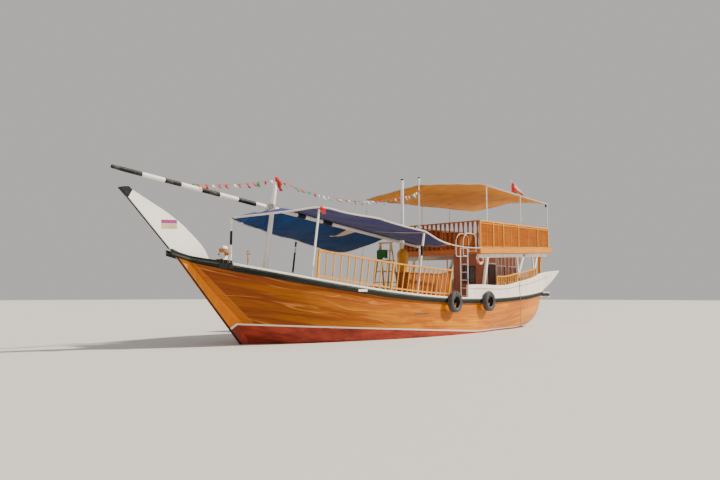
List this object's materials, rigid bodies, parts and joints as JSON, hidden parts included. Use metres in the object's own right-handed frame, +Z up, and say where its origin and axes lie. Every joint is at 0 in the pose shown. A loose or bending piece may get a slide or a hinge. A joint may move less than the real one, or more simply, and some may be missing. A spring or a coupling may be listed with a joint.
{
  "type": "dhow sailing boat",
  "caption": "Wooden passenger dhow afloat: raked stem with tall stemhead board, lateen yard carrying a deck awning, railed waist, raised stern deck under a canvas roof, rudder and screw.",
  "frame": {"origin": "on the waterline at the centreline, 8.0 m aft of where the stem leaves the water", "axes": "+X to the bow, +Y to port, +Z up"},
  "size_m": [23.4, 5.4598, 8.9211],
  "materials": {
    "planking": "oiled planking",
    "bottom_paint": "painted red brown",
    "deck_wood": "worn planks",
    "grey_paint": "weathered paint",
    "white_paint": "painted white",
    "black_paint": "painted black",
    "engine_paint": "painted casting",
    "bronze": "cast bronze",
    "blue_cloth": "woven plastic sheet",
    "navy_cloth": "woven plastic sheet",
    "painted_pipe": "white painted pipe",
    "timber": "varnished",
    "dark_timber": "varnished",
    "buff_cloth": "canvas",
    "steel_pipe": "galvanised pipe",
    "flag_cloth": "woven flag cloth",
    "rubber": "worn tyre rubber",
    "ring_plastic": "faded hard foam",
    "rust_iron": "rusty galvanised",
    "rope": "laid rope"
  },
  "bodies": {
    "boat": {"hull": "planking", "keel_and_stem": "bottom_paint", "main_deck": "deck_wood", "rub_strake_port": "grey_paint", "rub_strake_starboard": "grey_paint", "cap_rail_port": "white_paint", "cap_rail_starboard": "white_paint", "quarter_board_port": "white_paint", "quarter_board_starboard": "white_paint", "transom_board": "white_paint", "stemhead_board": "white_paint", "stemhead_tip": "black_paint", "engine": "engine_paint", "mast": "white_paint", "yard": "white_paint", "blue_awning_port": "blue_cloth", "blue_awning_starboard": "navy_cloth", "awning_post_bow": "painted_pipe", "awning_post_port_fore": "painted_pipe", "awning_post_port_aft": "painted_pipe", "awning_post_starboard_fore": "painted_pipe", "mizzen_casing": "timber", "mizzen_pole": "painted_pipe", "lamp_pole": "painted_pipe", "side_railing_port": "timber", "low_balustrade_port": "timber", "low_balustrade_starboard": "timber", "shelter_frame_port": "white_paint", "shelter_frame_starboard": "white_paint", "upper_deck": "timber", "upper_screen_port": "timber", "upper_screen_starboard": "timber", "upper_balustrade_fore": "dark_timber", "upper_balustrade_aft": "dark_timber", "buff_awning": "buff_cloth", "awning_poles_port": "steel_pipe", "awning_poles_starboard": "steel_pipe", "awning_pole_fore": "steel_pipe", "flagstaff": "steel_pipe", "ensign": "flag_cloth", "house_wall_port": "timber", "house_wall_starboard": "timber", "house_wall_fore": "timber", "house_wall_aft": "timber", "upper_deck_ladder": "painted_pipe", "stern_platform": "white_paint", "stern_column_port": "timber", "stern_column_starboard": "timber", "tyre_fender_fore": "rubber", "tyre_fender_aft": "rubber", "lifebuoy": "ring_plastic", "grapnel_anchor": "rust_iron", "samson_post": "white_paint", "step_ladder": "timber", "side_locker": "timber", "hanging_rope": "rope"},
    "rudder": {"rudder": "bottom_paint"},
    "propeller": {"propeller": "bronze"},
    "door_port": {"house_door_port": "dark_timber"},
    "door_starboard": {"house_door_starboard": "dark_timber"}
  },
  "joints": [
    {"name": "rudder_turn", "type": "hinge", "parent": "boat", "child": "rudder", "pos_m": [-8.15, 0, -1.345], "axis": [-0.4614, 0, 0.8872], "range_deg": [-35, 35]},
    {"name": "propeller_spin", "type": "hinge", "parent": "boat", "child": "propeller", "pos_m": [-7.18, 0, -0.835], "axis": [1, 0, 0], "continuous": true},
    {"name": "door_port_swing", "type": "hinge", "parent": "boat", "child": "door_port", "pos_m": [-5.726, 0.81, 2], "axis": [0, 0, 1], "range_deg": [0, 90]},
    {"name": "door_starboard_swing", "type": "hinge", "parent": "boat", "child": "door_starboard", "pos_m": [-5.726, -0.81, 2], "axis": [0, 0, -1], "range_deg": [0, 90]}
  ]
}
